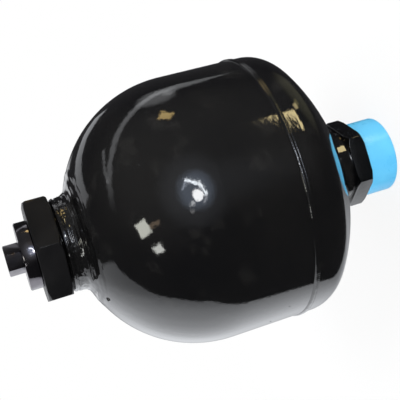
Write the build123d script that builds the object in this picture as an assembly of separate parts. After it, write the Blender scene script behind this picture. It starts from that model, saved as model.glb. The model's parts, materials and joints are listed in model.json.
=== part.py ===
from build123d import *
import math
import os

# Bladder accumulator with a welded steel shell, gas end up, standing on the
# protective cap of its fluid port.  Millimetres.  The axis is Z, and the
# origin is the centre of the cap's flat end.

# ---- shell
SHELL_OD = 168.3
SHELL_WALL = 8.0
BODY_STRAIGHT = 45.2        # cylindrical length above the weld
CROWN_DEPTH = 77.3          # forged crown at the gas end, outside, and its radius
CROWN_WALL = 15.7           # the crown thickens towards the neck
END_SKIRT = 8.0             # cylindrical length below the weld
END_DEPTH = 43.2            # pressed dome at the fluid end, outside
END_KNUCKLE = 20.0
WELD_ROOT = 1.5             # width of the weld at the inner wall
WELD_FACE = 3.4             # width of the weld at the outer wall
WELD_CROWN = 1.1            # height of the bead above the shell
NECK_OD = 57.6
NECK_HEIGHT = 7.0           # neck above the top of the crown
NECK_FILLET = 9.0
NECK_BORE = 40.0
NECK_THREAD = 48.0          # M48 x 2
NECK_THREAD_DEPTH = 14.5
NECK_CHAMFER = 1.2
GROOVE_WIDTH = 1.2          # tool groove around the neck
GROOVE_DEPTH = 0.7
GROOVE_BELOW_TOP = 3.2

# ---- boss on the dome, for the fluid port
BOSS_OD = 47.0
BOSS_HEIGHT = 9.2
BOSS_FILLET = 4.0
BOSS_THREAD = 36.0          # M36 x 1.5

# ---- fluid port
PORT_THREAD = 45.0          # M45 x 1.5 outside
PORT_THREAD_LENGTH = 16.2
PORT_THREAD_CHAMFER = 1.2
PORT_HEX = 50.0             # across flats
PORT_HEX_HEIGHT = 10.9
PORT_TAP_BORE = 24.12       # G 3/4 inside, minor diameter
PORT_TAP_DEPTH = 16.0
PORT_FLOW_BORE = 22.0
PORT_CHAMBER_BORE = 26.0
PORT_INSIDE_LIP = 1.2       # the port stands this far into the shell
SEAT_WIDTH = 1.6            # conical seat at the mouth of the chamber
WEB_THICKNESS = 5.0
WEB_RISE = 2.0              # web above the back of the hexagon
FLOW_HOLES = 6
FLOW_HOLE = 5.4
FLOW_CIRCLE_DIAMETER = 18.4

# ---- anti-extrusion poppet
POPPET_STEM = 8.0
POPPET_HEAD = 33.0
POPPET_EDGE = 2.2           # thickness of the head at its rim
POPPET_CROWN = 2.0          # rise of the head's domed top
POPPET_LIFT = 6.0
POPPET_FILLET = 3.0
BUSH_OD = 12.0
BUSH_FLANGE = 17.0
BUSH_FLANGE_THICKNESS = 1.5
NUT_HEX = 13.0
NUT_HEIGHT = 6.5
STEM_BELOW_NUT = 2.0
POPPET_SPRING_WIRE = 1.4
POPPET_SPRING_COILS = 4.5

# ---- gland that holds the bladder in the neck
GLAND_HEX = 60.0            # across flats
GLAND_HEX_HEIGHT = 14.7
GLAND_HEX_TURN = -26.0      # degrees, as tightened, from the port's hexagon
GLAND_GAP = 0.8             # hexagon above the neck
GLAND_BORE = 26.6
WASHER_THICKNESS = 2.0

# ---- bladder and its stem
STEM_BOSS = 26.0
STEM_FLANGE = 46.0
STEM_FLANGE_THICKNESS = 5.0
STEM_BODY_LENGTH = 10.0     # sealing length inside the neck's bore
STEM_BUTTON = 30.0          # lower end, moulded into the bladder
STEM_BUTTON_LENGTH = 9.0
STEM_LIP = 34.0
STEM_LIP_THICKNESS = 3.0
STEM_GAS_BORE = 8.0
BLADDER_WALL = 3.0
BLADDER_CLEARANCE = 5.0     # relaxed bladder inside the shell
BLADDER_OVER_POPPET = 3.0
BLADDER_KNUCKLE = 34.0
BLADDER_PAD = 30.0          # flat pad moulded at the bottom, over the poppet

# ---- gas valve
VALVE_FLANGE = 41.6
VALVE_FLANGE_THICKNESS = 8.0
VALVE_HEX = 16.6            # across flats
VALVE_HEX_HEIGHT = 9.4
VALVE_HEX_TURN = -8.0
VALVE_SPIGOT = 16.0         # M16 x 1.5
VALVE_SPIGOT_LENGTH = 14.0
VALVE_TAP_BORE = 10.4       # M12 x 1.5 inside, minor diameter
VALVE_TAP_DEPTH = 7.5
CORE_OD = 8.0
CORE_LENGTH = 12.0
CORE_BORE = 4.6
CORE_FLOOR = 3.0
PIN_D = 2.0
PIN_COLLAR = 4.2
PIN_COLLAR_THICKNESS = 0.8
PIN_RECESS = 0.2            # pin's tip below the top of the core
PIN_DISC = 5.2
PIN_DISC_THICKNESS = 1.2
CORE_SEAL_THICKNESS = 0.6
PIN_TRAVEL = 1.5
CORE_SPRING_WIRE = 0.4
CORE_SPRING_COILS = 5

# ---- protective cap
CAP_WALL = 1.9
CAP_END = 2.5
CAP_EDGE_RADIUS = 0.9

# ---- seals and fits
SEAL_WIDTH = 2.6            # squeezed O-rings
SEAL_DEPTH = 2.3
BACKUP_WIDTH = 1.4
FACE_SEAL_RADIUS = 10.6     # middle of the seal under the valve's flange
THREAD_CLEARANCE = 0.05
RUNNING_CLEARANCE = 0.05
ASSEMBLY_CLEARANCE = 0.15
CAP_CLEARANCE = 0.3
SQUEEZE_SHARE = 0.28        # rounding of a squeezed O-ring
WIRE_SIDES = 6
JOINING_LENGTH = 1e-6
TIP_GAP = 1.0               # port's end above the cap's floor
SMALL_CHAMFER = 0.6
HEX_CHAMFER_ANGLE = 30.0
HEX_FACE_SHARE = 1.06       # chamfer circle over the width across flats

# ---- heights along the axis
port_tip = CAP_END + TIP_GAP
hex_front = port_tip + PORT_THREAD_LENGTH
hex_back = hex_front + PORT_HEX_HEIGHT
dome_pole = hex_back + BOSS_HEIGHT
dome_base = dome_pole + END_DEPTH
weld_z = dome_base + END_SKIRT
crown_base = weld_z + BODY_STRAIGHT
neck_top = crown_base + CROWN_DEPTH + NECK_HEIGHT
seat_z = neck_top - NECK_THREAD_DEPTH
gland_top = neck_top + GLAND_GAP + GLAND_HEX_HEIGHT
washer_z = seat_z + STEM_FLANGE_THICKNESS
stem_bottom = seat_z - STEM_BODY_LENGTH
valve_top = gland_top + VALVE_FLANGE_THICKNESS + VALVE_HEX_HEIGHT
core_top = valve_top - VALVE_TAP_DEPTH
core_bottom = core_top - CORE_LENGTH

shell_r = SHELL_OD / 2
inner_r = shell_r - SHELL_WALL
web_z = hex_back + WEB_RISE
web_top = web_z + WEB_THICKNESS


def crown_radius(half_width, depth, knuckle):
    """Radius of the crown that is tangent to the knuckle of a pressed head."""
    inset = half_width - knuckle
    return (inset ** 2 + depth ** 2 - knuckle ** 2) / (2 * (depth - knuckle))


def head(base_z, half_width, depth, knuckle, bore_r, inwards=True):
    """Knuckle and crown arcs of a pressed head below base_z.

    They run from the head's full width in to bore_r, or the other way."""
    crown_r = crown_radius(half_width, depth, knuckle)
    meet = math.degrees(math.atan2(crown_r - depth, half_width - knuckle))
    end = math.degrees(math.acos(bore_r / crown_r))
    knuckle_centre = (half_width - knuckle, base_z)
    crown_centre = (0, base_z - depth + crown_r)
    if inwards:
        return [CenterArc(knuckle_centre, knuckle, 0, -meet),
                CenterArc(crown_centre, crown_r, -meet, meet - end)]
    return [CenterArc(crown_centre, crown_r, -end, end - meet),
            CenterArc(knuckle_centre, knuckle, -meet, meet)]


def crown(half_width, depth, bore_r, inwards=True):
    """Single arc of the forged crown, as tall as its radius, in to bore_r or out from it."""
    centre = (half_width - depth, crown_base)
    end = math.degrees(math.acos((bore_r - half_width + depth) / depth))
    if inwards:
        return [CenterArc(centre, depth, 0, end)]
    return [CenterArc(centre, depth, end, -end)]


def turned(*parts):
    """Solid of revolution about Z from (radius, height) points and lists of arcs."""
    stops = []
    for part in parts:
        if isinstance(part, tuple):
            stops.append((Vector(*part), Vector(*part), []))
        else:
            stops.append((part[0] @ 0, part[-1] @ 1, part))
    edges = []
    for (_, end, arcs), (following, _, _) in zip(stops, stops[1:] + stops[:1]):
        edges += arcs
        if (following - end).length > JOINING_LENGTH:
            edges.append(Line(end, following))
    return revolve(Plane.XZ * make_face(edges), Axis.Z)


def ring(inner, outer, low, high):
    """Plain ring between two diameters and two heights."""
    return turned((inner / 2, low), (outer / 2, low), (outer / 2, high), (inner / 2, high))


def squeezed_ring(inner, outer, low, high):
    """O-ring as it sits in its groove, between two diameters and two heights."""
    width = (outer - inner) / 2
    section = Pos((inner + outer) / 4, (low + high) / 2) * Rectangle(width, high - low)
    section = chamfer(section.vertices(), SQUEEZE_SHARE * min(width, high - low))
    return revolve(Plane.XZ * section, Axis.Z)


def hexagon(across_flats, low, high, turn=0.0):
    """Hexagonal prism with both ends chamfered as on a nut."""
    corner = across_flats / math.sqrt(3)
    flat = across_flats / 2 * HEX_FACE_SHARE
    drop = (corner - flat) * math.tan(math.radians(HEX_CHAMFER_ANGLE))
    prism = Pos(0, 0, low) * extrude(RegularPolygon(corner, 6, rotation=turn), high - low)
    limit = turned((0, low), (flat, low), (corner, low + drop), (corner, high - drop),
                   (flat, high), (0, high))
    return prism & limit


def foot_fillet(solid, radius, foot_z, free_z, fillet_r):
    """Round the foot of a neck or boss, within the straight length it leaves free."""
    foot = solid.edges().filter_by(GeomType.CIRCLE).sort_by(
        lambda edge: abs(edge.radius - radius) + abs(edge.center().Z - foot_z))[0]
    return fillet(foot, min(fillet_r, abs(free_z - foot_z)))


def coil(mean_d, wire, low, high, turns):
    """Compression spring between two heights."""
    height = high - low - wire
    path = Helix(height / turns, height, mean_d / 2, center=(0, 0, low + wire / 2))
    section = Plane(origin=path @ 0, z_dir=path % 0) * RegularPolygon(wire / 2, WIRE_SIDES)
    return sweep(section, path=path, is_frenet=True)


inner_end = (inner_r, END_DEPTH - SHELL_WALL, END_KNUCKLE - SHELL_WALL)
end_crown_r = crown_radius(*inner_end)
boss_thread_r = BOSS_THREAD / 2
inside_sag = end_crown_r - math.sqrt(end_crown_r ** 2 - boss_thread_r ** 2)
port_inside = dome_pole + SHELL_WALL + inside_sag + PORT_INSIDE_LIP
poppet_seat = port_inside + POPPET_LIFT


# ---- shell ----
def shell_body():
    """Forged body: cylinder, crown and neck in one piece, open at the weld."""
    neck_r = NECK_OD / 2
    bore_r = NECK_BORE / 2
    thread_r = NECK_THREAD / 2
    outer = crown(shell_r, CROWN_DEPTH, neck_r)
    inner = crown(inner_r, CROWN_DEPTH - CROWN_WALL, bore_r, inwards=False)
    groove_z = neck_top - GROOVE_BELOW_TOP
    groove_r = neck_r - GROOVE_DEPTH
    body = turned(
        (inner_r, weld_z + WELD_ROOT / 2), (shell_r, weld_z + WELD_FACE / 2), outer,
        (neck_r, groove_z - GROOVE_WIDTH / 2), (groove_r, groove_z - GROOVE_WIDTH / 2),
        (groove_r, groove_z + GROOVE_WIDTH / 2), (neck_r, groove_z + GROOVE_WIDTH / 2),
        (neck_r, neck_top - NECK_CHAMFER), (neck_r - NECK_CHAMFER, neck_top),
        (thread_r + SMALL_CHAMFER, neck_top), (thread_r, neck_top - SMALL_CHAMFER),
        (thread_r, seat_z), (bore_r, seat_z), inner)
    return foot_fillet(body, neck_r, (outer[-1] @ 1).Y, groove_z - GROOVE_WIDTH / 2, NECK_FILLET)


def shell_end():
    """Pressed end dome with the boss that takes the fluid port."""
    boss_r = BOSS_OD / 2
    thread_r = BOSS_THREAD / 2 + THREAD_CLEARANCE
    outer = head(dome_base, shell_r, END_DEPTH, END_KNUCKLE, boss_r, inwards=False)
    inner = head(dome_base, *inner_end, thread_r)
    end = turned(
        (thread_r, hex_back), (boss_r, hex_back), outer,
        (shell_r, weld_z - WELD_FACE / 2), (inner_r, weld_z - WELD_ROOT / 2), inner)
    return foot_fillet(end, boss_r, (outer[0] @ 0).Y, hex_back, BOSS_FILLET)


def weld_bead():
    """Girth weld: fills the bevelled joint and stands a little above the shell."""
    face = [ThreePointArc((shell_r, weld_z - WELD_FACE / 2), (shell_r + WELD_CROWN, weld_z),
                          (shell_r, weld_z + WELD_FACE / 2))]
    return turned((inner_r, weld_z - WELD_ROOT / 2), face, (inner_r, weld_z + WELD_ROOT / 2))


# ---- gland and bladder, at the gas end ----
def gland():
    """Hexagon-headed gland screwed into the neck to clamp the bladder's stem."""
    low = washer_z + WASHER_THICKNESS
    shank_r = NECK_THREAD / 2 - THREAD_CLEARANCE
    head_z = neck_top + GLAND_GAP
    shank = turned((0, low), (shank_r - SMALL_CHAMFER, low), (shank_r, low + SMALL_CHAMFER),
                   (shank_r, head_z), (0, head_z))
    head = hexagon(GLAND_HEX, head_z, gland_top, GLAND_HEX_TURN)
    return shank + head - Pos(0, 0, (low + gland_top) / 2) * Cylinder(GLAND_BORE / 2, gland_top - low)


def bladder_stem():
    """Steel stem moulded into the bladder, with its clamping flange and seal groove."""
    bore_r = STEM_GAS_BORE / 2
    tap_r = VALVE_SPIGOT / 2 + THREAD_CLEARANCE
    tap_z = gland_top - VALVE_SPIGOT_LENGTH - TIP_GAP
    body_r = NECK_BORE / 2 - ASSEMBLY_CLEARANCE
    groove_r = NECK_BORE / 2 - SEAL_DEPTH
    groove_z = stem_bottom + BACKUP_WIDTH
    groove_top = groove_z + SEAL_WIDTH + BACKUP_WIDTH
    button_r = STEM_BUTTON / 2
    lip_z = stem_bottom - STEM_BUTTON_LENGTH
    return turned(
        (bore_r, lip_z), (STEM_LIP / 2, lip_z), (STEM_LIP / 2, lip_z + STEM_LIP_THICKNESS),
        (button_r, lip_z + STEM_LIP_THICKNESS), (button_r, stem_bottom), (body_r, stem_bottom),
        (body_r, groove_z), (groove_r, groove_z), (groove_r, groove_top), (body_r, groove_top),
        (body_r, seat_z), (STEM_FLANGE / 2, seat_z), (STEM_FLANGE / 2, washer_z),
        (STEM_BOSS / 2, washer_z), (STEM_BOSS / 2, gland_top),
        (tap_r, gland_top), (tap_r, tap_z), (bore_r, tap_z))


def stem_seal():
    """O-ring between the stem and the neck's bore."""
    low = stem_bottom + BACKUP_WIDTH
    return squeezed_ring(NECK_BORE - 2 * SEAL_DEPTH, NECK_BORE, low, low + SEAL_WIDTH)


def stem_backup_ring():
    """Back-up ring on the outer side of the stem's O-ring."""
    low = stem_bottom + BACKUP_WIDTH + SEAL_WIDTH
    return ring(NECK_BORE - 2 * SEAL_DEPTH, NECK_BORE, low, low + BACKUP_WIDTH)


def thrust_washer():
    """Bronze washer that lets the gland turn without twisting the bladder."""
    return ring(STEM_BOSS + 2 * ASSEMBLY_CLEARANCE, STEM_FLANGE, washer_z,
                washer_z + WASHER_THICKNESS)


def bladder():
    """Relaxed rubber bladder, moulded around the lower end of the stem."""
    neck_r = NECK_BORE / 2 - 2 * ASSEMBLY_CLEARANCE
    outer_r = inner_r - BLADDER_CLEARANCE
    gas_r = outer_r - BLADDER_WALL
    top_depth = CROWN_DEPTH - CROWN_WALL - BLADDER_CLEARANCE
    open_head_top = poppet_seat + POPPET_EDGE + POPPET_CROWN
    bottom = open_head_top + BLADDER_OVER_POPPET
    waist = crown_base - BODY_STRAIGHT / 2
    depth = waist - bottom
    lip_z = stem_bottom - STEM_BUTTON_LENGTH
    mouth_r = STEM_BUTTON / 2
    pad_r = BLADDER_PAD / 2
    top = crown(outer_r, top_depth, neck_r)
    inside_top = crown(gas_r, top_depth - BLADDER_WALL, mouth_r, inwards=False)
    inside_bottom = head(waist, gas_r, depth - BLADDER_WALL, BLADDER_KNUCKLE - BLADDER_WALL,
                         pad_r)
    under = head(waist, outer_r, depth, BLADDER_KNUCKLE, pad_r, inwards=False)
    rubber = turned((0, (under[0] @ 0).Y), under, top, (neck_r, stem_bottom),
                    (mouth_r, stem_bottom), inside_top, inside_bottom,
                    (0, (inside_bottom[-1] @ 1).Y))
    return rubber - ring(0, STEM_LIP, lip_z, lip_z + STEM_LIP_THICKNESS)


# ---- gas valve ----
def gas_valve_body():
    """Turned valve body: round flange, small hexagon with a tapped mouth, and spigot."""
    flange_r = VALVE_FLANGE / 2
    flange_top = gland_top + VALVE_FLANGE_THICKNESS
    spigot_r = VALVE_SPIGOT / 2
    spigot_z = gland_top - VALVE_SPIGOT_LENGTH
    inner_groove = FACE_SEAL_RADIUS - SEAL_WIDTH / 2
    outer_groove = FACE_SEAL_RADIUS + SEAL_WIDTH / 2
    body = turned(
        (0, spigot_z), (spigot_r - SMALL_CHAMFER, spigot_z), (spigot_r, spigot_z + SMALL_CHAMFER),
        (spigot_r, gland_top), (inner_groove, gland_top), (inner_groove, gland_top + SEAL_DEPTH),
        (outer_groove, gland_top + SEAL_DEPTH), (outer_groove, gland_top),
        (flange_r - SMALL_CHAMFER, gland_top), (flange_r, gland_top + SMALL_CHAMFER),
        (flange_r, flange_top - SMALL_CHAMFER), (flange_r - SMALL_CHAMFER, flange_top),
        (0, flange_top))
    body += hexagon(VALVE_HEX, flange_top, valve_top, VALVE_HEX_TURN)
    tap_r = VALVE_TAP_BORE / 2
    core_r = CORE_OD / 2 + THREAD_CLEARANCE
    passage_r = PIN_DISC / 2 + 2 * ASSEMBLY_CLEARANCE
    return body - turned(
        (0, spigot_z), (passage_r, spigot_z), (passage_r, core_bottom), (core_r, core_bottom),
        (core_r, core_top), (tap_r, core_top), (tap_r, valve_top - SMALL_CHAMFER),
        (tap_r + SMALL_CHAMFER, valve_top), (0, valve_top))


def valve_body_seal():
    """O-ring under the flange of the gas valve."""
    return squeezed_ring(2 * FACE_SEAL_RADIUS - SEAL_WIDTH, 2 * FACE_SEAL_RADIUS + SEAL_WIDTH,
                         gland_top, gland_top + SEAL_DEPTH)


core_floor_top = core_bottom + CORE_FLOOR
pin_top = core_top - PIN_RECESS
collar_z = core_top - PIN_TRAVEL - PIN_RECESS
seal_z = core_bottom - CORE_SEAL_THICKNESS


def valve_core():
    """Brass insert: a tube with a guiding floor for the pin."""
    core_r = CORE_OD / 2
    pin_r = PIN_D / 2 + RUNNING_CLEARANCE
    return turned(
        (pin_r, core_bottom), (core_r - SMALL_CHAMFER, core_bottom),
        (core_r, core_bottom + SMALL_CHAMFER), (core_r, core_top), (CORE_BORE / 2, core_top),
        (CORE_BORE / 2, core_floor_top), (pin_r, core_floor_top))


def valve_pin():
    """Pin with its spring collar and the disc that closes the core."""
    pin_r = PIN_D / 2
    disc_z = seal_z - PIN_DISC_THICKNESS
    return turned(
        (0, disc_z), (PIN_DISC / 2, disc_z), (PIN_DISC / 2, seal_z), (pin_r, seal_z),
        (pin_r, collar_z - PIN_COLLAR_THICKNESS),
        (PIN_COLLAR / 2, collar_z - PIN_COLLAR_THICKNESS), (PIN_COLLAR / 2, collar_z),
        (pin_r, collar_z), (pin_r, pin_top), (0, pin_top))


def valve_pin_seal():
    """Seal on the pin's disc, closed against the underside of the core."""
    return ring(PIN_D, PIN_DISC, seal_z, core_bottom)


def valve_spring():
    """Spring that holds the gas valve shut."""
    mean_d = (PIN_D + CORE_BORE) / 2
    return coil(mean_d, CORE_SPRING_WIRE, core_floor_top, collar_z - PIN_COLLAR_THICKNESS,
                CORE_SPRING_COILS)


# ---- fluid port and its anti-extrusion valve ----
def fluid_port():
    """Port body: threaded nose, hexagon and shank, with the web that guides the poppet."""
    thread_r = PORT_THREAD / 2
    shank_r = BOSS_THREAD / 2
    groove_r = shank_r - SEAL_DEPTH
    groove_z = hex_back + SMALL_CHAMFER
    groove_top = groove_z + SEAL_WIDTH + BACKUP_WIDTH
    outside = turned(
        (0, port_tip), (thread_r - PORT_THREAD_CHAMFER, port_tip),
        (thread_r, port_tip + PORT_THREAD_CHAMFER), (thread_r, hex_front + SMALL_CHAMFER),
        (shank_r, hex_back - SMALL_CHAMFER), (shank_r, groove_z), (groove_r, groove_z),
        (groove_r, groove_top), (shank_r, groove_top), (shank_r, port_inside), (0, port_inside))
    body = outside + hexagon(PORT_HEX, hex_front, hex_back)
    tap_r = PORT_TAP_BORE / 2
    flow_r = PORT_FLOW_BORE / 2
    chamber_r = PORT_CHAMBER_BORE / 2
    tap_top = port_tip + PORT_TAP_DEPTH
    body -= turned(
        (0, port_tip), (tap_r + PORT_THREAD_CHAMFER, port_tip), (tap_r, port_tip + PORT_THREAD_CHAMFER),
        (tap_r, tap_top), (flow_r, tap_top + tap_r - flow_r), (flow_r, web_z), (0, web_z))
    body -= turned(
        (0, web_top), (chamber_r, web_top), (chamber_r, port_inside - SEAT_WIDTH),
        (chamber_r + SEAT_WIDTH, port_inside), (0, port_inside))
    middle = (web_z + web_top) / 2
    body -= Pos(0, 0, middle) * Cylinder(BUSH_OD / 2, WEB_THICKNESS)
    for place in PolarLocations(FLOW_CIRCLE_DIAMETER / 2, FLOW_HOLES):
        body -= Pos(0, 0, middle) * place * Cylinder(FLOW_HOLE / 2, WEB_THICKNESS)
    return body


def port_seal():
    """O-ring between the port's shank and the boss."""
    low = hex_back + SMALL_CHAMFER
    return squeezed_ring(BOSS_THREAD - 2 * SEAL_DEPTH, BOSS_THREAD, low + BACKUP_WIDTH,
                         low + BACKUP_WIDTH + SEAL_WIDTH)


def port_backup_ring():
    """Back-up ring on the outer side of the port's O-ring."""
    low = hex_back + SMALL_CHAMFER
    return ring(BOSS_THREAD - 2 * SEAL_DEPTH, BOSS_THREAD, low, low + BACKUP_WIDTH)


bush_top = web_top + BUSH_FLANGE_THICKNESS


def guide_bush():
    """Bronze bush in the web, flanged under the spring."""
    bore_r = POPPET_STEM / 2 + RUNNING_CLEARANCE
    return turned((bore_r, web_z), (BUSH_OD / 2, web_z), (BUSH_OD / 2, web_top),
                  (BUSH_FLANGE / 2, web_top), (BUSH_FLANGE / 2, bush_top), (bore_r, bush_top))


def poppet():
    """Mushroom poppet, shown open; its head closes on the seat when the bladder fills."""
    head_r = POPPET_HEAD / 2
    stem_r = POPPET_STEM / 2
    under_r = PORT_CHAMBER_BORE / 2 - RUNNING_CLEARANCE
    cone_r = under_r + SEAT_WIDTH
    stem_z = web_z - NUT_HEIGHT - STEM_BELOW_NUT
    rim_z = poppet_seat + POPPET_EDGE
    dome_r = (head_r ** 2 + POPPET_CROWN ** 2) / (2 * POPPET_CROWN)
    spread = math.degrees(math.asin(head_r / dome_r))
    dome = [CenterArc((0, rim_z + POPPET_CROWN - dome_r), dome_r, 90 - spread, spread)]
    return turned((0, stem_z), (stem_r, stem_z), (stem_r, poppet_seat - POPPET_FILLET),
                  (stem_r + POPPET_FILLET, poppet_seat - SEAT_WIDTH),
                  (under_r, poppet_seat - SEAT_WIDTH), (cone_r, poppet_seat),
                  (head_r, poppet_seat), dome)


def poppet_nut():
    """Lock nut on the poppet's stem: it stops the opening travel at the bush."""
    high = web_z
    nut = hexagon(NUT_HEX, high - NUT_HEIGHT, high)
    return nut - Pos(0, 0, high - NUT_HEIGHT / 2) * Cylinder(POPPET_STEM / 2, NUT_HEIGHT)


def poppet_spring():
    """Spring that holds the poppet open."""
    mean_d = BUSH_FLANGE - POPPET_SPRING_WIRE
    return coil(mean_d, POPPET_SPRING_WIRE, bush_top, poppet_seat - SEAT_WIDTH,
                POPPET_SPRING_COILS)


# ---- protective cap ----
def port_cap():
    """Plastic cap over the port's thread, flat-ended, with a rounded edge."""
    bore_r = PORT_THREAD / 2 + CAP_CLEARANCE
    outer_r = bore_r + CAP_WALL
    rim_z = hex_front - CAP_CLEARANCE
    corner = outer_r - CAP_EDGE_RADIUS
    edge = [CenterArc((corner, CAP_EDGE_RADIUS), CAP_EDGE_RADIUS, -90, 90)]
    return turned((0, 0), edge, (outer_r, rim_z), (bore_r, rim_z), (bore_r, CAP_END), (0, CAP_END))


PARTS = [
    shell_body, shell_end, weld_bead,
    gland, thrust_washer, bladder_stem, stem_seal, stem_backup_ring, bladder,
    gas_valve_body, valve_body_seal, valve_core, valve_pin, valve_pin_seal, valve_spring,
    fluid_port, port_seal, port_backup_ring, guide_bush, poppet, poppet_nut, poppet_spring,
    port_cap,
]

os.makedirs("parts", exist_ok=True)
for make in PARTS:
    export_step(make(), f"parts/{make.__name__}.step")
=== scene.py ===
import json
import math

import bmesh
import bpy
from mathutils import Matrix, Vector, noise

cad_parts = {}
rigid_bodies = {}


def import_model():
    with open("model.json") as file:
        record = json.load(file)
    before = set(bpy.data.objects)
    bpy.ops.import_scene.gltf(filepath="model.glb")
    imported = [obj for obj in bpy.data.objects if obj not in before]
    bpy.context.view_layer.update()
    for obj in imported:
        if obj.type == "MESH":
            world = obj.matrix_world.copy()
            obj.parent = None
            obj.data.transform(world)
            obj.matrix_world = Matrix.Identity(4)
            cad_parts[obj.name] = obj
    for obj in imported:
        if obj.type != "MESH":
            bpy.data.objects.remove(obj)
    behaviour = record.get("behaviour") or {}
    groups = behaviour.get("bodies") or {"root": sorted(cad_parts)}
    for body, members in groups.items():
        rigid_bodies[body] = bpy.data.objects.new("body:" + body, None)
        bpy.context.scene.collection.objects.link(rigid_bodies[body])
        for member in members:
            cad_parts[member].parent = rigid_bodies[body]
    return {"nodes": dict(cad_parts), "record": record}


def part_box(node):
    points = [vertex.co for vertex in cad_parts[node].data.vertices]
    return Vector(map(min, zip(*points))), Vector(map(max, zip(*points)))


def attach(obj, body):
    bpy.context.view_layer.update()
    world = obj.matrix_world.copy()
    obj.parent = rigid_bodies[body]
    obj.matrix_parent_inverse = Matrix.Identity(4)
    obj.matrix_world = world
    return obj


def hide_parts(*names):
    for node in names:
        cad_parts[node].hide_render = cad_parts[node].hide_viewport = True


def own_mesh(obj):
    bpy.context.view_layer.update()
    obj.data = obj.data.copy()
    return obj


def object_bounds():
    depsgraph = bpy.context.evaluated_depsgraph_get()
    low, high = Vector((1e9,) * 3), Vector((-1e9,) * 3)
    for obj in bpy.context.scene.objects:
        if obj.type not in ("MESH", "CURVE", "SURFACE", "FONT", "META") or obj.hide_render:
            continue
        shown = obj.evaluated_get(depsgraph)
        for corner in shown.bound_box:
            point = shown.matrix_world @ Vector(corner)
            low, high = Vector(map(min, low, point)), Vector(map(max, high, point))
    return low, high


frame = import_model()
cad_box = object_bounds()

MM = 0.001
scene = bpy.context.scene
nodes = frame["nodes"]


# ---------------------------------------------------------------- camera
# The photo shows the object on its side, so the camera is rolled instead of the object.
VIEW_ELEVATION = math.radians(14.99)
VIEW_ROLL = math.radians(106.17)
VIEW_DISTANCE = 0.4912
VIEW_AIM = Vector((0.0033, 0.0, 0.1284))
LENS_MM = 69.6
SENSOR_MM = 36
CLIP = (0.01, 50)

forward = Vector((0, math.cos(VIEW_ELEVATION), -math.sin(VIEW_ELEVATION)))
camera = bpy.data.objects.new("camera", bpy.data.cameras.new("camera"))
scene.collection.objects.link(camera)
camera.location = VIEW_AIM - forward * VIEW_DISTANCE
camera.rotation_mode = "QUATERNION"
upright = forward.to_track_quat("-Z", "Y")
camera.rotation_quaternion = Matrix.Rotation(VIEW_ROLL, 4, forward).to_quaternion() @ upright
camera.data.lens = LENS_MM
camera.data.sensor_width = SENSOR_MM
camera.data.clip_start, camera.data.clip_end = CLIP
scene.camera = camera
scene.view_settings.view_transform = "Standard"


# ---------------------------------------------------------------- node helpers
class Graph:
    """Short calls for building a node tree. A value is a number, a colour or a socket."""

    def __init__(self, tree):
        self.tree = tree
        tree.nodes.clear()

    def node(self, kind, props=None, **inputs):
        made = self.tree.nodes.new(kind)
        for key, value in (props or {}).items():
            setattr(made, key, value)
        for key, value in inputs.items():
            self.feed(made.inputs[key.replace("_", " ")], value)
        return made

    def feed(self, socket, value):
        if isinstance(value, bpy.types.NodeSocket):
            self.tree.links.new(value, socket)
        else:
            socket.default_value = value

    def math(self, operation, a, b=None, c=None):
        made = self.tree.nodes.new("ShaderNodeMath")
        made.operation = operation
        for socket, value in zip(made.inputs, (a, b, c)):
            if value is not None:
                self.feed(socket, value)
        return made.outputs[0]

    def dot(self, vector, other):
        made = self.tree.nodes.new("ShaderNodeVectorMath")
        made.operation = "DOT_PRODUCT"
        self.feed(made.inputs[0], vector)
        self.feed(made.inputs[1], other)
        return made.outputs["Value"]

    def step(self, value, low, high, to_low=0.0, to_high=1.0):
        """Smooth rise of value from low to high."""
        made = self.node("ShaderNodeMapRange", {"interpolation_type": "SMOOTHSTEP"})
        for name, number in (("Value", value), ("From Min", low), ("From Max", high),
                             ("To Min", to_low), ("To Max", to_high)):
            self.feed(made.inputs[name], number)
        return made.outputs["Result"]

    def blend(self, share, a, b, kind="MIX"):
        """Colour a turned into b, or with b added to it, by share."""
        made = self.node("ShaderNodeMix", {"data_type": "RGBA", "blend_type": kind,
                                           "clamp_result": False})
        for number, value in ((0, share), (6, a), (7, b)):
            self.feed(made.inputs[number], value)
        return made.outputs[2]

    def add(self, a, b):
        return self.blend(1.0, a, b, "ADD")

    def mix(self, share, first, second):
        """Shader made of two shaders."""
        made = self.node("ShaderNodeMixShader", Fac=share)
        for socket, shader in zip(made.inputs[1:3], (first, second)):
            self.tree.links.new(shader, socket)
        return made.outputs[0]

    def finish(self, shader, kind="ShaderNodeOutputMaterial"):
        self.tree.links.new(shader, self.node(kind).inputs["Surface"])

    def scale(self, colour, share):
        made = self.tree.nodes.new("ShaderNodeVectorMath")
        made.operation = "SCALE"
        self.feed(made.inputs[0], colour)
        self.feed(made.inputs["Scale"], share)
        return made.outputs[0]


# ---------------------------------------------------------------- stage
def toward(turn, rise):
    """Direction, in degrees round +Z from the camera's side towards +X, and degrees up."""
    t, r = math.radians(turn), math.radians(rise)
    return Vector((math.cos(r) * math.sin(t), -math.cos(r) * math.cos(t), math.sin(r)))


def sine(degrees):
    return math.sin(math.radians(degrees))


def glow(g, direction, centre, inner, outer):
    """Share of a round patch, full within inner degrees and gone at outer degrees."""
    cosine = g.dot(direction, toward(*centre))
    return g.step(cosine, math.cos(math.radians(outer)), math.cos(math.radians(inner)))


def window(g, direction, centre, end, half_long, half_wide):
    """Share of a soft-edged rectangle whose long side runs from centre towards end."""
    c = toward(*centre)
    u = (toward(*end) - c * c.dot(toward(*end))).normalized()
    share = g.step(g.dot(direction, c), 0.0, 0.05)
    for axis, half in ((u, half_long), (c.cross(u), half_wide)):
        offset = g.math("ABSOLUTE", g.dot(direction, axis))
        inner, outer = sine(half - WINDOW_SOFTNESS), sine(half + WINDOW_SOFTNESS)
        share = g.math("MULTIPLY", share, g.step(offset, inner, outer, 1, 0))
    return share


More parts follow.
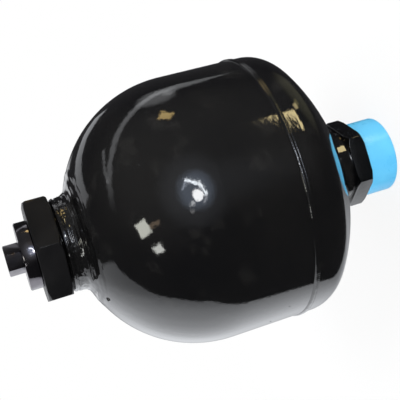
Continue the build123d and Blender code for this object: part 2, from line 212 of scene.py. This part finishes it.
def beyond(g, direction, first, second, inside, softness):
    """Share of the half of the sky that holds inside, cut along first to second."""
    normal = toward(*second).cross(toward(*first)).normalized()
    if normal.dot(toward(*inside)) < 0:
        normal.negate()
    return g.step(g.dot(direction, normal), -sine(softness), sine(softness))


# The room that gloss sees. Angles are in degrees and colours are radiances.
ROOM = (0.027, 0.027, 0.029)
# round patches of light: (centre, inner, outer, colour)
PATCHES = (
    ((45, 18), 0, 80, (0.088, 0.088, 0.086)),
    ((14, 9), 8, 36, (0.16, 0.17, 0.19)),
    ((13, 7), 8, 19, (0.50, 0.62, 0.82)),
    ((94, -50), 4, 26, (0.17, 0.165, 0.11)),
    ((111, -3), 6, 12, (0.42, 0.43, 0.44)),
    ((178, 12), 9, 15, (0.70, 0.71, 0.73)),
)
# soft-edged rectangles: (centre, end of the long side, half length, half width, colour)
WINDOW_SOFTNESS = 0.6
WINDOWS = (
    ((-9, 61), (4, 63), 5.5, 5.6, (5.5, 5.6, 5.0)),
    ((-35.5, 49.5), (-31, 45), 4.4, 3.2, (5.6, 5.7, 5.4)),
    ((-6.5, 50), (-5, 45), 5.0, 1.2, (1.1, 0.8, 0.55)),
    ((19, 15.5), (21, 13), 3.4, 0.8, (2.2, 2.4, 2.8)),
    ((20.6, 8.8), (18, 4), 5.2, 1.0, (12.5, 13.2, 14.0)),
    ((13, 1.2), (7, -0.3), 6.2, 1.1, (11.5, 12.0, 12.5)),
    ((4, 1.8), (1, 4), 3.6, 1.0, (2.0, 2.0, 2.1)),
    ((4, 13.5), (2, 15), 2.2, 1.2, (4.2, 4.2, 4.2)),
    ((-3, 15), (0, 14), 2.0, 1.2, (1.2, 1.2, 1.2)),
    ((85, 1), (89, 5), 4.4, 3.9, (3.0, 2.15, 0.85)),
    ((48.5, -27.6), (60, -25.1), 8.6, 4.3, (6.6, 5.4, 2.8)),
    ((66, -37), (70, -42), 5.5, 2.2, (2.6, 2.1, 1.1)),
    ((73, -43), (80, -47), 7.0, 2.5, (0.5, 0.43, 0.18)),
    ((106.5, 50), (114, 38), 13.0, 1.1, (0.55, 0.56, 0.58)),
    ((150, 30), (150, 60), 26.0, 4.0, (0.46, 0.47, 0.49)),
    ((116, -13), (124, -18), 8.0, 2.6, (0.36, 0.37, 0.38)),
)
# a band of light on the +X side, above ARC_FLOOR: part of a circle round an axis
ARC_AXIS, ARC_OFFSET, ARC_COLOUR = (-0.163, 0.929, 0.331), 0.228, (0.58, 0.59, 0.61)
ARC_WIDTH, ARC_SIDE, ARC_FLOOR = (0.030, 0.055), (0.15, 0.65), (-0.3, -0.15)
# the white table that the object lay on: (point, point, softness) of each edge
TABLE_EDGES = (((-83, -5), (-86, 28), 0.5), ((-94, 42), (-150, 70), 0.5),
               ((-128, -46), (-98, -16), 0.5), ((-163, 44), (-147, 62), 1.5),
               ((-172, 0), (-172, 40), 9))
TABLE_INSIDE = (-125, 8)
TABLE_COLOUR = (1.14, 1.17, 1.22)
TABLE_BRIGHT, TABLE_DIM = (18, 48), 0.38
# light that matt surfaces get from all round
SOFT_LIGHT, SOFT_STRENGTH = (0.97, 0.985, 1.0, 1), 0.75
WHITE = (1, 1, 1, 1)
FLOOR_COLOUR = (0.86, 0.86, 0.86, 1)
FLOOR_REACH, FLOOR_GAP = 6.0, 0.0002
# share of the white behind in what the camera sees of the floor, near the object and
# beyond, and the distances in metres between which it changes
FLOOR_CLEAR, FLOOR_FADE = (0.86, 1.0), (0.1, 0.6)


def make_world():
    """The room for gloss, even soft light for matt surfaces and white for the camera."""
    world = bpy.data.worlds.new("studio")
    scene.world = world
    world.use_nodes = True
    g = Graph(world.node_tree)
    direction = g.node("ShaderNodeTexCoord").outputs["Generated"]
    path = g.node("ShaderNodeLightPath")

    seen = (*ROOM, 1)
    for centre, inner, outer, colour in PATCHES:
        seen = g.add(seen, g.scale(colour, glow(g, direction, centre, inner, outer)))
    for centre, end, half_long, half_wide, colour in WINDOWS:
        share = window(g, direction, centre, end, half_long, half_wide)
        seen = g.add(seen, g.scale(colour, share))
    arc = g.math("ABSOLUTE", g.math("SUBTRACT", g.dot(direction, ARC_AXIS), ARC_OFFSET))
    arc = g.math("MULTIPLY", g.step(arc, *ARC_WIDTH, 1, 0),
                 g.step(g.dot(direction, (1, 0, 0)), *ARC_SIDE))
    arc = g.math("MULTIPLY", arc, g.step(g.dot(direction, (0, 0, 1)), *ARC_FLOOR))
    seen = g.add(seen, g.scale(ARC_COLOUR, arc))
    table = 1.0
    for first, second, softness in TABLE_EDGES:
        side = beyond(g, direction, first, second, TABLE_INSIDE, softness)
        table = g.math("MULTIPLY", table, side)
    middle = glow(g, direction, TABLE_INSIDE, *TABLE_BRIGHT)
    middle = g.math("MULTIPLY_ADD", middle, 1 - TABLE_DIM, TABLE_DIM)
    table = g.math("MULTIPLY", table, middle)
    seen = g.add(seen, g.scale(TABLE_COLOUR, table))

    def background(colour, strength):
        return g.node("ShaderNodeBackground", Color=colour, Strength=strength).outputs[0]

    light = g.mix(path.outputs["Is Glossy Ray"], background(SOFT_LIGHT, SOFT_STRENGTH),
                  background(seen, 1.0))
    shown = g.math("MAXIMUM", path.outputs["Is Camera Ray"], path.outputs["Is Transmission Ray"])
    g.finish(g.mix(shown, light, background(WHITE, 1.0)), "ShaderNodeOutputWorld")


def make_floor():
    """Plain pale floor. The camera sees the white behind it, with the object's shadow.

    It is mostly clear near the object, and wholly clear from below, so that the underside
    shows, and so does the cap when it is pulled down through the floor."""
    mesh = bpy.data.meshes.new("floor")
    corners = ((-1, -1), (1, -1), (1, 1), (-1, 1))
    mesh.from_pydata([(x * FLOOR_REACH, y * FLOOR_REACH, 0) for x, y in corners], [],
                     [(0, 1, 2, 3)])
    floor = bpy.data.objects.new("floor", mesh)
    scene.collection.objects.link(floor)
    floor.location.z = cad_box[0].z - FLOOR_GAP
    material = bpy.data.materials.new("floor")
    material.use_nodes = True
    g = Graph(material.node_tree)
    path = g.node("ShaderNodeLightPath")
    place = g.node("ShaderNodeTexCoord").outputs["Object"]
    away = g.math("SQRT", g.dot(place, place))
    lit = g.node("ShaderNodeBsdfDiffuse", Color=FLOOR_COLOUR)
    white = g.node("ShaderNodeBsdfTransparent", Color=WHITE)
    under = g.node("ShaderNodeNewGeometry").outputs["Backfacing"]
    clear = g.math("MAXIMUM", under, g.step(away, *FLOOR_FADE, *FLOOR_CLEAR))
    share = g.math("MULTIPLY", path.outputs["Is Camera Ray"], clear)
    g.finish(g.mix(share, lit.outputs[0], white.outputs[0]))
    mesh.materials.append(material)
    floor.visible_glossy = False


def make_lamp(name, place, aim, size, power, glossy=False):
    """Round lamp, size metres across, of power watts. glossy: whether reflections show it."""
    lamp = bpy.data.lights.new(name, "AREA")
    lamp.shape, lamp.size, lamp.energy = "DISK", size, power
    made = bpy.data.objects.new(name, lamp)
    scene.collection.objects.link(made)
    made.location = place
    made.rotation_mode = "QUATERNION"
    made.rotation_quaternion = (Vector(aim) - Vector(place)).to_track_quat("-Z", "Y")
    made.visible_camera = False
    made.visible_glossy = glossy


middle = (cad_box[0] + cad_box[1]) / 2
make_world()
make_floor()
make_lamp("key", (0.9, -1.0, 1.5), middle, 1.1, 29)
make_lamp("fill", (-1.2, -1.1, 0.5), middle, 1.2, 9)
make_lamp("back", (-0.6, 1.5, 1.2), middle, 1.2, 8)
# a small lamp beside the camera, for the sharp glints that a flash gives
make_lamp("flash", (0.102, -0.685, 0.225), (0.006, -0.08, 0.150), 0.100, 0.26, glossy=True)


# ---------------------------------------------------------------- materials
MOTTLE, GLOSS = (0.3, 0.7), (0.25, 0.75)    # part of the noise that the change takes up
GLOSS_FINER = 2.7                           # scale of the uneven gloss to the mottling's
NOISE_ROUGHNESS, RING_DISTORTION = 0.55, 0.6
QUARTER_TURN = 0.25


def finish(name, tones, roughness, bumps, patch, metallic=0.0, coat=0.0,
           coat_roughness=0.03, specular=0.5, tints=(), turned=0.0):
    """Procedural finish: colour mottled between two tones, uneven roughness, stacked bumps.

    patch is the scale of the mottling. A bump is (texture, scale, height in mm). A tint is
    (colour, scale, low, high), and comes in as its noise rises from low to high. turned is
    how far a lathe's marks round +Z spread the gloss."""
    material = bpy.data.materials.new(name)
    material.use_nodes = True
    g = Graph(material.node_tree)
    place = g.node("ShaderNodeTexCoord").outputs["Object"]

    def texture(kind, scale, detail=4.0):
        if kind == "rings":
            made = g.node("ShaderNodeTexWave", {"wave_type": "RINGS", "rings_direction": "Z"},
                          Vector=place, Scale=scale, Distortion=RING_DISTORTION, Detail=2.0)
        else:
            made = g.node("ShaderNodeTexNoise", Vector=place, Scale=scale, Detail=detail,
                          Roughness=NOISE_ROUGHNESS)
        return made.outputs["Fac"]

    mottle = g.step(texture("noise", patch), *MOTTLE)
    colour = g.blend(mottle, (*tones[0], 1), (*tones[1], 1))
    for tint, scale, low, high in tints:
        share = g.step(texture("noise", scale, detail=3.0), low, high)
        colour = g.blend(share, colour, (*tint, 1))
    rough = g.step(texture("noise", patch * GLOSS_FINER), *GLOSS, *roughness)
    shader = g.node("ShaderNodeBsdfPrincipled", Base_Color=colour, Roughness=rough,
                    Metallic=metallic, Coat_Weight=coat, Coat_Roughness=coat_roughness,
                    Specular_IOR_Level=specular)
    normal = None
    for kind, scale, height in bumps:
        bump = g.node("ShaderNodeBump", Strength=1.0, Distance=height * MM,
                      Height=texture(kind, scale))
        if normal:
            g.feed(bump.inputs["Normal"], normal)
        normal = bump.outputs["Normal"]
    g.feed(shader.inputs["Normal"], normal)
    if coat:
        g.feed(shader.inputs["Coat Normal"], normal)
    if turned:
        around = g.node("ShaderNodeTangent", {"direction_type": "RADIAL", "axis": "Z"})
        g.feed(shader.inputs["Tangent"], around.outputs[0])
        g.feed(shader.inputs["Anisotropic"], turned)
        g.feed(shader.inputs["Anisotropic Rotation"], QUARTER_TURN)
    g.finish(shader.outputs[0])
    return material


ORANGE_PEEL = (("noise", 150, 0.036), ("noise", 420, 0.030))
# tints: (colour, scale, low, high)
DUST = ((0.025, 0.025, 0.024), 1100, 0.69, 0.76)
PALE_PAINT = ((0.0085, 0.0082, 0.0078), 55, 0.56, 0.72)
YELLOWED_PLATE = ((0.19, 0.14, 0.10), 60, 0.56, 0.70)
looks = {
    "shell_paint": finish("shell_paint", ((0.0024, 0.0024, 0.0027), (0.0046, 0.0044, 0.0043)),
                          (0.03, 0.08), ORANGE_PEEL, 18, coat=1.0, coat_roughness=0.015,
                          tints=(DUST, PALE_PAINT)),
    "gland_paint": finish("gland_paint", ((0.0034, 0.0034, 0.0039), (0.0064, 0.0062, 0.0066)),
                          (0.35, 0.5), (("noise", 300, 0.03), ("noise", 1400, 0.004)), 45,
                          coat=0.35, coat_roughness=0.12, specular=0.2),
    "port_paint": finish("port_paint", ((0.0018, 0.0022, 0.0027), (0.0038, 0.0042, 0.0048)),
                         (0.05, 0.10), (("noise", 260, 0.060), ("rings", 900, 0.006)), 60,
                         coat=0.7, coat_roughness=0.04),
    "bright_plate": finish("bright_plate", ((0.13, 0.125, 0.14), (0.20, 0.19, 0.205)),
                           (0.08, 0.14), (("rings", 700, 0.003), ("noise", 500, 0.004)), 90,
                           metallic=1.0, turned=0.88, tints=(YELLOWED_PLATE,)),
    "plain_steel": finish("plain_steel", ((0.42, 0.41, 0.40), (0.58, 0.57, 0.56)),
                          (0.22, 0.38), (("rings", 1100, 0.004),), 120, metallic=1.0),
    "spring_steel": finish("spring_steel", ((0.30, 0.30, 0.31), (0.44, 0.43, 0.43)),
                           (0.25, 0.4), (("noise", 900, 0.004),), 200, metallic=1.0),
    "bronze": finish("bronze", ((0.42, 0.24, 0.11), (0.58, 0.35, 0.17)),
                     (0.25, 0.42), (("rings", 1000, 0.004),), 150, metallic=1.0),
    "brass": finish("brass", ((0.62, 0.43, 0.16), (0.78, 0.57, 0.24)),
                    (0.18, 0.34), (("rings", 1200, 0.003),), 180, metallic=1.0),
    "nitrile": finish("nitrile", ((0.012, 0.012, 0.012), (0.022, 0.021, 0.020)),
                      (0.45, 0.65), (("noise", 700, 0.012),), 80),
    "backup_plastic": finish("backup_plastic", ((0.62, 0.60, 0.54), (0.74, 0.72, 0.66)),
                             (0.35, 0.5), (("noise", 600, 0.006),), 90),
    "blue_plastic": finish("blue_plastic", ((0.115, 0.56, 0.93), (0.15, 0.63, 0.97)),
                           (0.24, 0.36), (("noise", 420, 0.008), ("noise", 90, 0.05)), 35),
}
for mat in frame["record"]["materials"]:
    assert mat["slot"] in looks, mat["slot"]
for obj in nodes.values():
    for i, old in enumerate(obj.data.materials):
        obj.data.materials[i] = looks[next(key for key in looks if old.name.startswith(key))]


# ---------------------------------------------------------------- pieces
# In what follows, radii, heights and sizes are in mm where nothing else is said.
def add_piece(name, mesh, body, slot, smooth=35, replaces=None):
    """Take a mesh into the scene as a piece that rides on a body."""
    mesh.materials.clear()
    mesh.materials.append(looks[slot])
    mesh.shade_smooth()
    mesh.set_sharp_from_angle(angle=math.radians(smooth))
    piece = bpy.data.objects.new(name, mesh)
    scene.collection.objects.link(piece)
    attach(piece, body)
    if replaces:
        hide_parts(replaces)
    return piece


def at(radius, angle, z):
    """A point in metres from a radius and height in mm and an angle round +Z."""
    return (radius * math.cos(angle) * MM, radius * math.sin(angle) * MM, z * MM)


def swept(name, sections, closed=True):
    """Mesh of a row of closed sections of equal length, joined in a ring or capped."""
    count, ring = len(sections), len(sections[0])
    faces = []
    for i in range(count if closed else count - 1):
        j = (i + 1) % count
        for k in range(ring):
            n = (k + 1) % ring
            faces.append((i * ring + k, j * ring + k, j * ring + n, i * ring + n))
    if not closed:
        faces.append(tuple(range(ring)))
        faces.append(tuple(range((count - 1) * ring, count * ring))[::-1])
    mesh = bpy.data.meshes.new(name)
    mesh.from_pydata([p for section in sections for p in section], [], faces)
    return mesh


def uneven(spot, height, scale):
    """Smooth noise at a spot, of about that height."""
    return height * noise.noise(spot * scale)


def outward(mesh):
    """The mesh with its faces turned outwards."""
    bm = bmesh.new()
    bm.from_mesh(mesh)
    bmesh.ops.recalc_face_normals(bm, faces=bm.faces)
    bm.to_mesh(mesh)
    bm.free()
    return mesh


SAME_POINT, FLAT, SHARP = 0.002, math.radians(0.4), math.radians(38)


def copy_of(node, soften, width, change_radius=None):
    """Mesh of a CAD node, with radii changed and its outer sharp edges rounded.

    soften is (least radius, lowest z, highest z) of those edges, and width their round."""
    least, low, high = soften
    bm = bmesh.new()
    bm.from_mesh(nodes[node].data)
    bmesh.ops.remove_doubles(bm, verts=bm.verts, dist=SAME_POINT * MM)
    for vert in bm.verts if change_radius else ():
        radius = vert.co.xy.length
        new = change_radius(radius / MM, vert.co.z / MM)
        if new is not None:
            vert.co.x *= new * MM / radius
            vert.co.y *= new * MM / radius
    bmesh.ops.dissolve_limit(bm, angle_limit=FLAT, verts=bm.verts, edges=bm.edges)
    edges = []
    for edge in bm.edges:
        ends = [vert.co / MM for vert in edge.verts]
        inside = all(co.xy.length > least and low < co.z < high for co in ends)
        if inside and edge.calc_face_angle(0) > SHARP:
            edges.append(edge)
    bmesh.ops.bevel(bm, geom=edges, offset=width * MM, segments=3, profile=0.5,
                    affect="EDGES", clamp_overlap=True)
    mesh = bpy.data.meshes.new(node)
    bm.to_mesh(mesh)
    bm.free()
    return mesh


THREAD_STEPS, THREAD_RUN_OUT = 72, 40      # sections in a turn and in each faded end
THREAD_FLAT, THREAD_SUNK = 0.07, 0.15      # half the crest in pitches, and the sunk foot
THREAD_FLANK = 0.577                       # slope of a flank at 30 degrees


def thread_ridge(root, crest, pitch, low, high, limit):
    """Helical ridge from root to crest radius. limit gives the crest that z allows."""
    turns = (high - low) / pitch
    steps = int(turns * THREAD_STEPS)
    half_crest = pitch * THREAD_FLAT
    sign = 1 if crest > root else -1
    base = root - THREAD_SUNK * sign
    sections = []
    for i in range(steps + 1):
        z = low + (high - low) * i / steps
        run_out = min(1.0, i / THREAD_RUN_OUT, (steps - i) / THREAD_RUN_OUT)
        top = root + (min(crest * sign, limit(z) * sign) * sign - root) * run_out
        half_root = half_crest + abs(top - root + THREAD_SUNK * sign) * THREAD_FLANK
        angle = math.tau * turns * i / steps
        sections.append([at(base, angle, z - half_root), at(top, angle, z - half_crest),
                         at(top, angle, z + half_crest), at(base, angle, z + half_root)])
    return outward(swept("ridge", sections, closed=False))


def joined(first, *others):
    """The first mesh with the others added to it."""
    bm = bmesh.new()
    for mesh in (first, *others):
        bm.from_mesh(mesh)
    bm.to_mesh(first)
    bm.free()
    return first


def level(node, top=False):
    """Lowest or highest z of a node, in mm."""
    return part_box(node)[1 if top else 0].z / MM


CLOSE = 0.02       # radii that differ by less are the same
SLACK = 0.1        # heights are widened by this where a face must not be missed

# fluid port: threads M45 x 1.5 outside and G 3/4 inside, corners of the hexagon rounded
tip = level("fluid_port")
NOSE, NOSE_ROOT, NOSE_PITCH, NOSE_MARGIN = 22.5, 21.58, 1.5, 0.9
TAP, TAP_ROOT, TAP_PITCH, TAP_RUN = 12.06, 13.22, 1.814, (1.0, 15.4)
TAP_MOUTH = 12.66
LEAD_IN = 1.2      # how far the crests start back at the port's end
PORT_HEXAGON, PORT_ROUND = (24.9, tip + 15, tip + 28), 0.7
nose_end = tip + 16.2


def port_radius(radius, z):
    """Radius of the threads' roots for the faces that the CAD has at their crests."""
    if abs(radius - NOSE) < CLOSE and z < nose_end + SLACK:
        return NOSE_ROOT
    if abs(radius - TAP) < CLOSE:
        return TAP_ROOT
    if abs(radius - TAP_MOUTH) < CLOSE:
        return TAP_ROOT + CLOSE
    return None


port = joined(copy_of("fluid_port", PORT_HEXAGON, PORT_ROUND, port_radius),
              thread_ridge(NOSE_ROOT, NOSE, NOSE_PITCH, tip + NOSE_MARGIN,
                           nose_end - NOSE_MARGIN, lambda z: NOSE - LEAD_IN + (z - tip)),
              thread_ridge(TAP_ROOT, TAP, TAP_PITCH, tip + TAP_RUN[0], tip + TAP_RUN[1],
                           lambda z: TAP + LEAD_IN - (z - tip)))
add_piece("threaded_port", port, "vessel", "port_paint", replaces="fluid_port")

# gas valve: M12 x 1.5 in its mouth, corners of the small hexagon rounded
mouth = level("gas_valve_body", top=True)
GAS, GAS_ROOT, GAS_PITCH, GAS_RUN, GAS_LEAD_IN = 5.2, 6.0, 1.5, (6.8, 0.8), 0.6
GAS_BORE, GAS_DEEP, GAS_TAPER = (5.1, 5.85), 8, 0.2
VALVE_HEXAGON, VALVE_ROUND = (8.2, mouth - 9.5, mouth + SLACK), 0.6


def valve_radius(radius, z):
    """Radius of the thread's root, nearly the same for the bore and its chamfer."""
    if GAS_BORE[0] < radius < GAS_BORE[1] and z > mouth - GAS_DEEP:
        return GAS_ROOT + (radius - GAS) * GAS_TAPER
    return None


valve = joined(copy_of("gas_valve_body", VALVE_HEXAGON, VALVE_ROUND, valve_radius),
               thread_ridge(GAS_ROOT, GAS, GAS_PITCH, mouth - GAS_RUN[0], mouth - GAS_RUN[1],
                            lambda z: GAS + GAS_LEAD_IN - (mouth - z)))
add_piece("threaded_valve_body", valve, "vessel", "bright_plate", replaces="gas_valve_body")

# gland: corners of the hexagon rounded
GLAND_HEXAGON, GLAND_ROUND = (29.9, level("gland"), level("gland", top=True) + SLACK), 0.4
gland = copy_of("gland", GLAND_HEXAGON, GLAND_ROUND)
add_piece("rounded_gland", gland, "vessel", "gland_paint", replaces="gland")

# weld bead: two passes side by side with solidification ripples, on the CAD ring's root
bead_z = (level("weld_bead") + level("weld_bead", top=True)) / 2
bead_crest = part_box("weld_bead")[1].x / MM
shell_r = bead_crest - 1.1
AROUND, ACROSS, BEAD_HALF = 1920, 13, 1.7
RIPPLES, RIPPLE_HEIGHT = 320, 0.018
RIPPLE_BOW = 1.1                           # radians by which the bead's edges lag
DRIFT, SPREAD, WANDER = (0.22, 1.7), (0.10, 3.1), (1.3, 4)     # (height, scale) of noises
BEAD_HEIGHT, BEAD_SUNK = 0.97, 0.03
# height at places from the low edge at -1 to the high edge at 1
BEAD = ((-1, 0), (-0.9, 0.72), (-0.8, 0.88), (-0.45, 0.715), (-0.25, 0.80), (0.05, 1.0),
        (0.25, 0.98), (0.62, 0.806), (0.85, 0.50), (1, 0))
# (depth, height above the middle) of the root's corners
BEAD_ROOT = ((4, 1.225), (8, 0.75), (8, -0.75), (4, -1.225))


def bead_profile(across):
    """Height of the bead at a place across it."""
    (x0, h0), (x1, h1) = next(pair for pair in zip(BEAD, BEAD[1:]) if across <= pair[1][0])
    return h0 + (h1 - h0) * (across - x0) / (x1 - x0)


sections = []
for i in range(AROUND):
    angle = math.tau * i / AROUND
    spot = Vector((math.cos(angle) * 7, math.sin(angle) * 7, 0.3))
    drift, wander = uneven(spot, *DRIFT), uneven(spot, *WANDER)
    height = BEAD_HEIGHT + uneven(spot, *SPREAD)
    section = []
    for k in range(2 * ACROSS + 1):
        across = k / ACROSS - 1
        ripple = math.cos(RIPPLES * angle + RIPPLE_BOW * across * across + wander)
        crown = bead_profile(across) + RIPPLE_HEIGHT * (1 - across ** 4) * ripple
        radius = min(shell_r - BEAD_SUNK + crown * height, bead_crest)
        z = bead_z + across * BEAD_HALF + drift * (1 - across * across)
        section.append(at(radius, angle, z))
    section += [at(shell_r - depth, angle, bead_z + rise) for depth, rise in BEAD_ROOT]
    sections.append(section)
add_piece("rippled_weld", outward(swept("rippled_weld", sections)), "vessel", "shell_paint",
          smooth=50, replaces="weld_bead")

# neck: uneven paint over the turned fillet
shell = nodes["shell_body"]
neck_top = level("shell_body", top=True)
OUTSIDE_SHELL = 0.2                        # metres


def shell_radius(z, angle):
    """Outer radius of the shell at a height."""
    out = Vector((math.cos(angle), math.sin(angle), 0))
    hit, point = shell.ray_cast(out * OUTSIDE_SHELL + Vector((0, 0, z * MM)), -out)[:2]
    assert hit, (z, angle)
    return point.xy.length / MM


NECK_ROWS, NECK_AROUND = 72, 600
NECK_LOW, NECK_HIGH = 203.5, neck_top - 1.25
NECK_ANGLE = math.radians(3.0)             # where the shell's radii are measured
NECK_FADE = 9, 5                           # rows in which the paint rises at each end
NECK_PAINT, NECK_TUCK, NECK_SUNK = 0.26, 0.10, 0.7
INSIDE_STEP = 8                            # rows of the outside to one of the inside
UPPER_FROM, UPPER_OVER = 210, 4            # the paint gets rougher over these heights
ROUND, ALONG = 2.6, 0.8                    # scales of the low waves round and up the neck
WAVE_HEIGHT, ROUGH_HEIGHT = (0.30, 0.06), (0.08, 0.28)      # at the foot, added above
neck_z = [NECK_LOW + (NECK_HIGH - NECK_LOW) * k / (NECK_ROWS - 1) for k in range(NECK_ROWS)]
neck_r = [shell_radius(z, NECK_ANGLE) for z in neck_z]
neck_slope = []
for k in range(NECK_ROWS):
    back, ahead = max(k - 2, 0), min(k + 2, NECK_ROWS - 1)
    run = Vector((neck_r[ahead] - neck_r[back], neck_z[ahead] - neck_z[back]))
    neck_slope.append(run.normalized())
sections = []
for i in range(NECK_AROUND):
    angle = math.tau * i / NECK_AROUND
    section, inside = [], []
    for k, (z, radius) in enumerate(zip(neck_z, neck_r)):
        slope = neck_slope[k]
        spot = Vector((math.cos(angle) * radius, math.sin(angle) * radius, z))
        ring = Vector((math.cos(angle) * ROUND, math.sin(angle) * ROUND, z * ALONG))
        rough = uneven(spot, 0.7, 0.24) + uneven(spot, 0.3, 0.6)
        edge = min(1.0, k / NECK_FADE[0], (NECK_ROWS - 1 - k) / NECK_FADE[1])
        upper = min(1.0, max(0.0, (z - UPPER_FROM) / UPPER_OVER))
        low_waves = WAVE_HEIGHT[0] + WAVE_HEIGHT[1] * upper
        roughness = ROUGH_HEIGHT[0] + ROUGH_HEIGHT[1] * upper
        bumps = low_waves * noise.noise(ring) + roughness * rough
        proud = (NECK_PAINT + bumps) * edge - NECK_TUCK * (1 - edge)
        section.append(at(radius + proud * slope.y, angle, z - proud * slope.x))
        if k % INSIDE_STEP == 0 or k == NECK_ROWS - 1:
            inside.append(at(radius - NECK_SUNK * slope.y, angle, z + NECK_SUNK * slope.x))
    sections.append(section + inside[::-1])
add_piece("neck_paint", outward(swept("neck_paint", sections)), "vessel", "shell_paint",
          smooth=60)


MARK_ROWS, MARK_SPOKES, MARK_DEPTH = 10, 28, 0.6
MARK_REACH = 0.5                           # from the middle to where the slope is measured
MARK_SINK, SHELL_CURVE = 0.12, 160         # edge's depth, about the shell's diameter
RIM_PLACE, RIM_WIDTH = 0.60, 0.20          # in shares of the mark's radius


def paint_mark(name, turn, z, size, rise, ring=False):
    """A dried nib of paint, or the rim of a burst bubble, on the shell.

    turn is in degrees from the camera's side towards +X, and size is the mark's radius."""
    angle = math.radians(turn - 90)
    below, above = z - MARK_REACH, z + MARK_REACH
    lower, upper = shell_radius(below, angle), shell_radius(above, angle)
    centre = Vector(at((lower + upper) / 2, angle, z))
    around = Vector((-math.sin(angle), math.cos(angle), 0))
    down = (Vector(at(lower, angle, below)) - Vector(at(upper, angle, above))).normalized()
    normal = down.cross(around)
    if normal.dot(Vector((math.cos(angle), math.sin(angle), 0))) < 0:
        normal.negate()
    points, faces = [centre + normal * (0.0 if ring else rise) * MM], []
    for row in range(1, MARK_ROWS + 1):
        reach = row / MARK_ROWS
        profile = (math.exp(-((reach - RIM_PLACE) / RIM_WIDTH) ** 2) if ring
                   else 0.5 + 0.5 * math.cos(math.pi * reach))
        for s in range(MARK_SPOKES):
            a = math.tau * s / MARK_SPOKES
            wobble = 1 + 0.22 * noise.noise(Vector((math.cos(a) * 1.3, math.sin(a) * 1.3, z)))
            flat = (around * math.cos(a) + down * math.sin(a)) * reach * size * wobble
            sink = MARK_SINK * reach ** 3 + (reach * size) ** 2 / SHELL_CURVE
            points.append(centre + (flat + normal * (profile * rise - sink)) * MM)
    points.append(centre - normal * MARK_DEPTH * MM)
    last = 1 + (MARK_ROWS - 1) * MARK_SPOKES
    for s in range(MARK_SPOKES):
        n = (s + 1) % MARK_SPOKES
        faces.append((0, 1 + s, 1 + n))
        for one in range(1, last, MARK_SPOKES):
            two = one + MARK_SPOKES
            faces.append((one + s, two + s, two + n, one + n))
        faces.append((last + s, len(points) - 1, last + n))
    mesh = bpy.data.meshes.new(name)
    mesh.from_pydata(points, [], faces)
    add_piece(name, outward(mesh), "vessel", "shell_paint", smooth=80)


# (turn, z, size, rise)
NIBS = ((65.4, 205.5, 1.1, 0.45), (24.4, 173.8, 0.7, 0.20), (17.2, 192.3, 0.6, 0.18),
        (79.0, 150.2, 0.8, 0.22), (-36.8, 181.3, 0.9, 0.25), (-58.0, 106.1, 0.8, 0.22),
        (-69.7, 115.1, 0.9, 0.22))
for number, nib in enumerate(NIBS):
    paint_mark(f"paint_nib_{number}", *nib)
paint_mark("paint_bubble", -58.8, 204.1, 1.9, 0.60, ring=True)

# springs: each is swapped for a copy of its mesh that rides on its joint's parent body
for joint in frame["record"]["behaviour"]["joints"]:
    for spring in joint.get("deforming_nodes", ()):
        node, fixed = spring["node"], spring["fixed_end_z_m"]
        piece = add_piece(f"wound_{node}", nodes[node].data.copy(), joint["parent"],
                          "spring_steel", replaces=node)
        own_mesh(piece)
